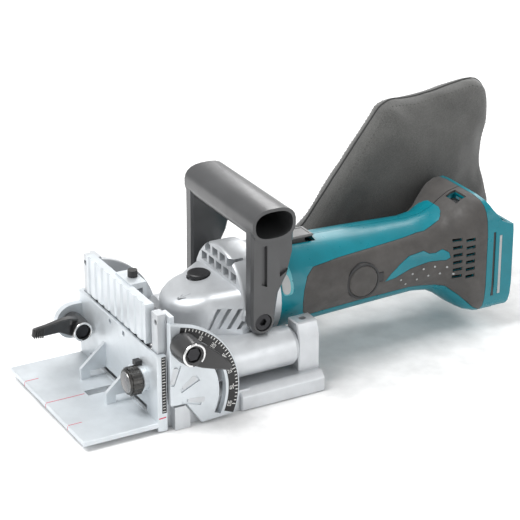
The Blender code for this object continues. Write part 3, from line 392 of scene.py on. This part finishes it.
SEGMENTS = {
    "0": "abcdef", "1": "bc", "2": "abged", "3": "abgcd", "4": "fgbc", "5": "afgcd",
    "6": "afgedc", "7": "abc", "8": "abcdefg", "9": "abcdfg",
}
STROKES = {
    "a": ((-1, 2), (1, 2)), "b": ((1, 2), (1, 0)), "c": ((1, 0), (1, -2)), "d": ((-1, -2), (1, -2)),
    "e": ((-1, 0), (-1, -2)), "f": ((-1, 2), (-1, 0)), "g": ((-1, 0), (1, 0)),
}


def add_stroke(bm, place, start, end, width, deep):
    """A thin raised bar between two points of a flat place(u, v, w)."""
    a, b = Vector(start), Vector(end)
    way = (b - a).normalized()
    side = Vector((-way.y, way.x)) * width / 2
    a, b = a - way * width / 2, b + way * width / 2
    corners = [a + side, b + side, b - side, a - side]
    add_rings(bm, [[place(p.x, p.y, w) for p in corners] for w in deep])


def add_digits(bm, place, text, size, width, deep):
    """Plain seven-stroke figures, centred."""
    for i, digit in enumerate(text):
        shift = (i - (len(text) - 1) / 2) * size * 1.7
        for key in SEGMENTS[digit]:
            (u0, v0), (u1, v1) = STROKES[key]
            start = (shift + u0 * size / 2, v0 * size / 2)
            add_stroke(bm, place, start, (shift + u1 * size / 2, v1 * size / 2), width, deep)


# ---------------------------------------------------------------- scales and marks


def make_angle_scale():
    """The black band on the near quadrant with its ticks and figures."""
    bm = bmesh.new()
    add_band(bm, 42.2, 48.9, 11, 112.6, SCALE_X - 0.1, SCALE_X + 0.18)
    piece("angle_scale", bm, SCALE_BLACK, "fence")
    bm = bmesh.new()
    for degrees in range(0, 91, 3):
        a = SCALE_ZERO + degrees
        inner = 46.0 if degrees % 15 == 0 else 47.0
        add_band(bm, inner, 48.5, a - 0.32, a + 0.32, SCALE_X + 0.1, SCALE_X + 0.26, 1)
    for degrees in range(0, 91, 15):
        y, z = polar(44.2, SCALE_ZERO + degrees)
        turn = math.radians(SCALE_ZERO + degrees)

        def place(u, v, w, y=y, z=z, turn=turn):
            across, up = u * math.cos(turn) + v * math.sin(turn), v * math.cos(turn) - u * math.sin(turn)
            return w, y + across, z + up

        add_digits(bm, place, str(degrees), 1.15, 0.42, (SCALE_X + 0.1, SCALE_X + 0.26))
    piece("angle_scale_marks", bm, SCALE_WHITE, "fence", None)


def make_height_scale():
    """The strip on the guide's near edge."""
    x = EDGE_X
    bm = bmesh.new()
    add_slab(bm, "X", x - 0.1, x + 0.2, [(-2.7, 13), (0.3, 13), (0.3, 51.4), (-2.7, 51.4)])
    piece("height_scale", bm, SCALE_BLACK, "guide", None)
    bm = bmesh.new()
    for k in range(19):
        z = 14.2 + 2.0 * k
        end = -0.2 if k % 5 == 0 else -0.68
        add_stroke(bm, lambda u, v, w: (w, u, v), (-2.3, z), (end, z), 0.32, (x + 0.1, x + 0.28))
    piece("height_scale_marks", bm, SCALE_WHITE, "guide", None)


def make_red_marks():
    """The cutting marks on the foot's top and front, and the height scale's pointer line."""
    top, front = FOOT_TOP, FOOT_FRONT
    bm = bmesh.new()
    for start, end in (((0, -55.4), (0, -29.5)), ((34, -55.2), (34, -46.6)), ((-34, -55.2), (-34, -46.6))):
        add_stroke(bm, lambda u, v, w: (u, v, w), start, end, 0.45, (top - 0.1, top + 0.08))
    for x in (-34, 0, 34):
        add_stroke(bm, lambda u, v, w: (u, w, v), (x, 4.2), (x, 6.2), 0.45, (front, front - 0.18))
    add_stroke(bm, lambda u, v, w: (w, u, v), (-4.6, 9.7), (-0.6, 9.9), 0.7, (EDGE_X - 0.1, EDGE_X + 0.14))
    piece("red_marks", bm, RED, "guide", None)


def make_lever_rings():
    """The open spring ring around each clamp lever's hub."""
    for name, body, centre, x, radius in (
        ("guide_lever_ring", "guide_lever", GUIDE_HUB, -34.6, 5.9),
        ("tilt_lever_ring", "tilt_lever", TILT_HUB, 77.6, 6.9),
    ):
        bm = bmesh.new()
        turns = [math.radians(-48 + 306 * i / 48) for i in range(49)]
        rings = []
        for a in turns:
            rings.append([
                (x + 0.55 + 0.75 * math.sin(b), centre[0] + (radius + 0.75 * math.cos(b)) * math.cos(a),
                 centre[1] + (radius + 0.75 * math.cos(b)) * math.sin(a))
                for b in (2 * math.pi * k / 10 for k in range(10))
            ])
        add_rings(bm, rings)
        piece(name, bm, BRIGHT, body)


def make_knob_face():
    """The height knob's bright face and the black pointer above it on the guide."""
    bm = bmesh.new()
    add_turned(bm, "Y", KNOB_CENTRE, [(-18.1, 7.0), (-18.45, 6.8), (-18.5, 6.3), (-18.32, 5.9)], 40)
    piece("knob_face", bm, KNOB_FACE, "knob")
    bm = bmesh.new()
    add_slab(bm, "Y", -10.6, -6.0, [(33.2, 38.4), (37.6, 38.4), (37.6, 41.6), (33.2, 41.6)], 0.5)
    piece("knob_pointer", bm, BLACK, "guide")


def make_quadrant_pointers():
    """The three raised pointers cast on each quadrant."""
    for side, label in SIDES:
        bm = bmesh.new()
        for degrees, start, end in ((16, 11, 22), (58, 12, 23), (101, 14, 26)):
            turn = math.radians(degrees)
            outline = [(-1.4, start), (1.4, start), (2.1, end - 1), (1.2, end), (-1.2, end), (-2.1, end - 1)]
            spun = [
                (r * math.sin(turn) + t * math.cos(turn), TILT_Z + r * math.cos(turn) - t * math.sin(turn))
                for t, r in outline
            ]
            add_slab(bm, "X", side * (SCALE_X - 1.0), side * (SCALE_X + 0.1), spun, 0.3)
        piece(f"quadrant_pointers_{label}", bm, CASTING, "fence")


# ---------------------------------------------------------------- housing and gear head


def surface_of(*names):
    """The CAD surfaces of some nodes as one tree to cast rays at."""
    points, faces = [], []
    for name in names:
        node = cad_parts[name]
        first = len(points)
        points += [node.matrix_world @ v.co for v in node.data.vertices]
        faces += [[first + i for i in p.vertices] for p in node.data.polygons]
    return BVHTree.FromPolygons(points, faces)


def surface_at(tree, y, z, x_from, way):
    """X where a ray along X meets the surface, or None."""
    hit = tree.ray_cast(Vector((x_from, y, z)) * MM, Vector((way, 0, 0)))
    return hit[0].x / MM if hit[0] is not None else None


def add_draped(bm, tree, side, outline, lift, shares=(1.0, 0.96, 0.7, 0.35)):
    """A thin pad that lies on a surface seen along X. outline holds its Y and Z."""
    cy = sum(p[0] for p in outline) / len(outline)
    cz = sum(p[1] for p in outline) / len(outline)
    rings = []
    for i, share in enumerate(shares):
        ring = []
        for y, z in outline:
            py, pz = cy + (y - cy) * share, cz + (z - cz) * share
            x = surface_at(tree, py, pz, side * 90, -side)
            ring.append((x + side * (lift if i else -0.25), py, pz))
        rings.append(ring)
    add_rings(bm, [[(x - side * 0.3, y, z) for x, y, z in rings[0]], *rings])


def make_grip_dots():
    """Small raised dots in rows under the leaf on each grip."""
    for side, label in SIDES:
        tree = surface_of(f"grip_{label}", f"housing_{label}")
        bm = bmesh.new()
        for row, (first_y, first_z) in enumerate(((190.5, 48.6), (195.0, 44.2))):
            for k in range(5):
                y = first_y + 8.8 * k
                z = first_z + 4.5 * math.sin(math.pi * k / 5) * (1 - 0.4 * row)
                add_draped(bm, tree, side, circle(0.85, 12, y, z), 0.28, (1.0, 0.8))
        piece(f"grip_dots_{label}", bm, GREY_PAD, "motor_unit")


def make_cap_rings():
    """The dark gap ring around each brush cap and the keyed notch behind it."""
    for side, label in SIDES:
        bm = bmesh.new()
        section = [(24.6, 11.0), (27.7, 11.0), (27.9, 11.4), (27.7, 12.4), (24.6, 12.4)]
        turns = [2 * math.pi * i / 48 for i in range(49)]
        rings = [
            [(side * x, CAP_CENTRE[0] + r * math.cos(a), CAP_CENTRE[1] + r * math.sin(a)) for x, r in section]
            for a in turns
        ]
        add_rings(bm, rings, cap=False)
        bmesh.ops.remove_doubles(bm, verts=bm.verts, dist=0.01)
        notch = [(171.2, 51.7), (175.8, 51.7), (175.8, 58.3), (171.2, 58.3)]
        add_slab(bm, "X", side * 25.6, side * 27.5, notch, 0.4)
        piece(f"cap_ring_{label}", bm, BLACK, "motor_unit")


def make_side_pads():
    """The oblong pale pad in its lighter frame at the front of each housing half."""
    for side, label in SIDES:
        tree = surface_of(f"housing_{label}")
        frame_mesh, pad = bmesh.new(), bmesh.new()
        add_draped(frame_mesh, tree, side, rounded(102.6, 67.5, 4.6, 9.5, 3.5), 0.25)
        add_draped(pad, tree, side, rounded(101.6, 65.5, 3.2, 6.4, 2.6), 0.7)
        piece(f"pad_frame_{label}", frame_mesh, TEAL_PALE, "motor_unit")
        piece(f"side_pad_{label}", pad, GREY_PAD, "motor_unit")


def make_rim_strips():
    """The dark seal and the grey strip in the grooves of the housing's rear rim."""
    for side, label in SIDES:
        for name, look, y, low, high, out in (
            ("rim_seal", BLACK, 258, 26.2, 72.8, 35.2), ("rim_strip", GREY_PAD, 263, 27.2, 69.8, 35.7),
        ):
            bm = bmesh.new()
            outline = [(y - 0.95, low), (y + 0.95, low), (y + 0.95, high), (y - 0.95, high)]
            add_slab(bm, "X", side * 34.7, side * out, outline, 0.2)
            piece(f"{name}_{label}", bm, look, "motor_unit", None)


def make_openings_dark():
    """Black sheets inside the housing behind the vents and under the latch window: painted shade in these
    openings.
    """
    for side, label in SIDES:
        bm = bmesh.new()
        # painted shade: a black sheet behind the vents
        add_slab(bm, "X", side * 22, side * 23.4, [(228.5, 40), (245, 40), (245, 73), (228.5, 73)], 0.3)
        piece(f"vent_shade_sheet_{label}", bm, BLACK, "motor_unit", None)
    bm = bmesh.new()
    # painted shade: a black sheet under the latch window
    add_slab(bm, "Z", 87.2, 88.8, [(2.7, 239.2), (15.8, 239.2), (15.8, 246.8), (2.7, 246.8)], 0.3)
    piece("latch_shade_sheet", bm, BLACK, "motor_unit", None)


def make_lever_ridges():
    """The ridges across the guide lever's finger tip."""
    bm = bmesh.new()
    hub, reach = Vector(GUIDE_HUB), Vector(GUIDE_REACH)
    across = Vector((-reach.y, reach.x)).normalized()
    for k in range(5):
        share = 0.8 + 0.042 * k
        middle = hub + reach * share
        # the lever's outer face, which leans away from the mount towards the tip and bows halfway
        x = -42.8 + 8.2 * share + 2.2 * math.sin(math.pi * share) + 2.2
        start, end = middle + across * 2.6, middle - across * 2.6
        add_stroke(bm, lambda u, v, w: (w, u, v), start, end, 0.7, (x - 1.0, x + 0.15))
    piece("lever_ridges", bm, KNURL, "guide_lever", None)


def make_head_arrow():
    """The small arrow cast in the gear head's top, pointing to the cutting end."""
    def place(u, v, w):
        return u, v, 62.3 + 0.17 * (v - 27) + w

    bm = bmesh.new()
    for start, end in (((9, 42), (9, 34.5)), ((9, 33.6), (6.6, 37.4)), ((9, 33.6), (11.4, 37.4))):
        add_stroke(bm, place, start, end, 1.0, (-0.2, 0.22))
    piece("head_arrow", bm, CASTING, "motor_unit", None)


# ---------------------------------------------------------------- dust bag


# Y and Z along the sewn edge, from the mouth up the front, over the top and down the back
BAG_OUTLINE = [
    (139, 44), (145, 54), (160, 63), (181, 90), (202, 117), (221, 141), (227, 144.5),
    (245, 143.5), (262, 144.5), (280, 148.0), (296, 149.5), (304, 147), (308, 138),
    (309, 122), (306, 105), (304, 92), (307, 76), (312, 58), (312, 47), (305, 41.5),
    (280, 41), (250, 40.5), (220, 40.5), (190, 40), (165, 39.5), (148, 40),
]
BAG_X = -55.0  # middle plane of the bag, where its two faces are sewn together
BAG_MIDDLE = (238.0, 92.0)
# half thickness, and the outline's share of its full size there
BAG_SECTION = [(2.0, 1.0), (6.5, 0.985), (10.0, 0.93), (13.0, 0.8), (14.5, 0.55)]
VOXEL = 0.0045  # in metres, like the cap below
CLOTH_FRAMES = 24
CLOTH_CAP = 0.009  # how far a point of the cloth may move
HELD_WIDTH = 6.0  # width of the band beside the seam that the seam holds still


def toward_middle(y, z, share):
    """A point of the bag's outline drawn in towards its middle."""
    cy, cz = BAG_MIDDLE
    return cy + (y - cy) * share, cz + (z - cz) * share


def bag_shell():
    """The bag's two cloth faces, meeting at the seam all round, before it is filled."""
    bm = bmesh.new()
    rows = [(-thick, share) for thick, share in reversed(BAG_SECTION)] + BAG_SECTION
    rings = [[(BAG_X + dx, *toward_middle(y, z, share)) for y, z in BAG_OUTLINE] for dx, share in rows]
    add_rings(bm, rings)
    return bm


def edge_points():
    """Points about 3 mm apart along the bag's sewn edge."""
    points = []
    for (y0, z0), (y1, z1) in zip(BAG_OUTLINE, BAG_OUTLINE[1:] + BAG_OUTLINE[:1]):
        steps = max(1, int(math.hypot(y1 - y0, z1 - z0) / 3))
        points += [(y0 + (y1 - y0) * i / steps, z0 + (z1 - z0) * i / steps) for i in range(steps)]
    return points


def simulate_cloth(obj):
    """Fills the bag with air, so that its faces crown and wrinkle between the seams."""
    scene = bpy.context.scene
    before = [v.co.copy() for v in obj.data.vertices]
    pins = obj.vertex_groups.new(name="pins")
    for i, co in enumerate(before):
        edge = min(math.hypot(co.y / MM - y, co.z / MM - z) for y, z in edge_points())
        pins.add([i], max(0.0, min(1.0, 1.3 - edge / HELD_WIDTH)), "REPLACE")
    cloth = obj.modifiers.new("cloth", "CLOTH")
    cloth.settings.quality = 6
    cloth.settings.mass = 0.15
    cloth.settings.tension_stiffness = 12
    cloth.settings.compression_stiffness = 6
    cloth.settings.bending_stiffness = 0.35
    cloth.settings.use_pressure = True
    cloth.settings.uniform_pressure_force = 3.0
    cloth.settings.effector_weights.gravity = 0
    cloth.settings.shrink_min = -0.02
    cloth.settings.vertex_group_mass = "pins"
    cloth.settings.pin_stiffness = 1.0
    cloth.point_cache.frame_end = CLOTH_FRAMES
    for step in range(1, CLOTH_FRAMES + 1):
        scene.frame_set(step)
    graph = bpy.context.evaluated_depsgraph_get()
    after = bpy.data.meshes.new_from_object(obj.evaluated_get(graph))
    obj.modifiers.clear()
    obj.data = after
    scene.frame_set(1)
    for vert, start in zip(after.vertices, before):
        move = vert.co - start
        if move.length > CLOTH_CAP:
            vert.co = start + move.normalized() * CLOTH_CAP


def wrinkle(obj):
    """Soft creases that run out from the mouth, sag across the middle and fold at the top corner."""
    for vert in obj.data.vertices:
        co = vert.co / MM
        side = math.copysign(1, co.x - BAG_X)
        face = min(1.0, abs(co.x - BAG_X) / 8)
        away = Vector((co.y - 145, co.z - 45))
        spread = math.atan2(away.y, away.x)
        pull = 1.5 * math.sin(9 * spread + 0.5) * math.exp(-away.length / 90)
        sway = 3.0 * noise.noise(Vector((co.x / 30, co.y / 46 + 3, co.z / 30)))
        fine = 1.0 * noise.noise(Vector((co.x / 12, co.y / 15 + 9, co.z / 11)))
        crease = math.exp(-(((co.y - 238) + 0.9 * (co.z - 136)) / 5) ** 2)
        fold = -2.2 * crease * math.exp(-((co.z - 138) / 12) ** 2)
        vert.co.x += (pull + sway + fine + side * fold) * MM * face


def make_bag():
    """The cloth bag in place of its plain CAD solid."""
    bag = piece("bag_cloth", bag_shell(), FELT, None, None)
    remesh = bag.modifiers.new("remesh", "REMESH")
    remesh.mode = "VOXEL"
    remesh.voxel_size = VOXEL
    graph = bpy.context.evaluated_depsgraph_get()
    bag.data = bpy.data.meshes.new_from_object(bag.evaluated_get(graph))
    bag.modifiers.clear()
    simulate_cloth(bag)
    wrinkle(bag)
    fair = bag.modifiers.new("fair", "SMOOTH")
    fair.iterations = 2
    subdivide = bag.modifiers.new("finer", "SUBSURF")
    subdivide.levels = subdivide.render_levels = 1
    bag.data = bpy.data.meshes.new_from_object(bag.evaluated_get(bpy.context.evaluated_depsgraph_get()))
    bag.modifiers.clear()
    bag.data.materials.clear()
    bag.data.materials.append(FELT)
    bag.data.shade_smooth()
    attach(bag, "base")
    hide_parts("dust_bag")
    make_bag_seams(bag)


def make_bag_seams(bag):
    """The bound edge where the two faces meet and a row of stitches inside it on each face."""
    mesh = bag.data
    tree = BVHTree.FromPolygons([v.co for v in mesh.vertices], [p.vertices[:] for p in mesh.polygons])
    points = []
    for y, z in edge_points():
        cy, cz = BAG_MIDDLE
        out = Vector((0, y - cy, z - cz)).normalized()
        start = Vector((BAG_X, cy, cz)) + out * 140
        hit = tree.ray_cast(start * MM, -out)[0]
        if hit is not None:
            points.append(hit / MM)
    add_tube("bag_seam", points, 0.9, PIPING, "base")
    for side, label in SIDES:
        stitches(f"bag_stitches_{label}", tree, side)


def add_tube(name, points, radius, look, body, sides=8):
    """A closed loop of round cord through points near one plane across X."""
    bm = bmesh.new()
    count = len(points)
    rows = []
    for i in range(count):
        at = Vector(points[i])
        way = (Vector(points[(i + 1) % count]) - Vector(points[i - 1])).normalized()
        side = way.cross(Vector((1, 0, 0))).normalized()
        up = side.cross(way)
        rows.append([
            bm.verts.new(at + side * radius * math.cos(a) + up * radius * math.sin(a))
            for a in (2 * math.pi * k / sides for k in range(sides))
        ])
    for i in range(count):
        low, high = rows[i], rows[(i + 1) % count]
        for k in range(sides):
            m = (k + 1) % sides
            bm.faces.new((low[k], low[m], high[m], high[k]))
    piece(name, bm, look, body, 60)


def stitches(name, tree, side):
    """Small raised stitches in a row beside the seam."""
    bm = bmesh.new()
    for y, z in edge_points():
        py, pz = toward_middle(y, z, 0.94)
        x = surface_at(tree, py, pz, BAG_X + side * 60, -side)
        if x is None:
            continue
        add_turned(bm, "X", (py, pz), [(x - side * 0.3, 0.4), (x + side * 0.25, 0.35)], 6)
    piece(name, bm, THREAD, "base", 30)


# ---------------------------------------------------------------- stage


FLOOR_HALF, FLOOR_Z = 4000, -0.2  # in millimetres
# name, place and size in metres, and power in watts
LAMPS = (
    ("key", (-0.1, -0.6, 1.3), 0.8, 19),
    ("fill", (1.4, 0.7, 0.5), 0.9, 5),
    ("rim", (-0.8, 0.9, 0.9), 0.8, 9),
)
LAMP_TARGET = (0, 0.1, 0.06)
SURROUND = 0.62  # strength of the even white light
CAMERA_PLACE = (1.0612, -0.4862, 0.6037)
CAMERA_TARGET = (-0.00345, 0.09974, 0.07114)
LENS, SENSOR = 141.1, 36


def make_stage():
    """A pale floor, an even white surround and three soft lamps."""
    bm = bmesh.new()
    corners = ((-1, -1), (1, -1), (1, 1), (-1, 1))
    bm.faces.new([bm.verts.new((u * FLOOR_HALF, v * FLOOR_HALF, FLOOR_Z)) for u, v in corners])
    floor = piece("floor", bm, plastic("floor_white", (0.9, 0.9, 0.9), 0.7, 40, 0.0), None, None)
    world = bpy.data.worlds.new("studio")
    bpy.context.scene.world = world
    world.use_nodes = True
    world.node_tree.nodes["Background"].inputs["Color"].default_value = (1, 1, 1, 1)
    world.node_tree.nodes["Background"].inputs["Strength"].default_value = SURROUND
    for name, place, size, power in LAMPS:
        light = bpy.data.lights.new(name, "AREA")
        light.size = size
        light.energy = power
        lamp = bpy.data.objects.new(name, light)
        bpy.context.scene.collection.objects.link(lamp)
        lamp.location = place
        lamp.rotation_mode = "QUATERNION"
        lamp.rotation_quaternion = (Vector(LAMP_TARGET) - Vector(place)).to_track_quat("-Z", "Y")


def make_camera():
    camera = bpy.data.cameras.new("camera")
    camera.sensor_width = SENSOR
    camera.lens = LENS
    camera.clip_start, camera.clip_end = 0.05, 20
    rig = bpy.data.objects.new("camera", camera)
    bpy.context.scene.collection.objects.link(rig)
    rig.location = CAMERA_PLACE
    rig.rotation_mode = "QUATERNION"
    rig.rotation_quaternion = (Vector(CAMERA_TARGET) - rig.location).to_track_quat("-Z", "Y")
    bpy.context.scene.camera = rig


dress_nodes()
make_angle_scale()
make_height_scale()
make_red_marks()
make_lever_rings()
make_knob_face()
make_quadrant_pointers()
make_grip_dots()
make_cap_rings()
make_side_pads()
make_rim_strips()
make_openings_dark()
make_lever_ridges()
make_head_arrow()
make_bag()
make_stage()
make_camera()
bpy.context.scene.view_settings.view_transform = "Standard"
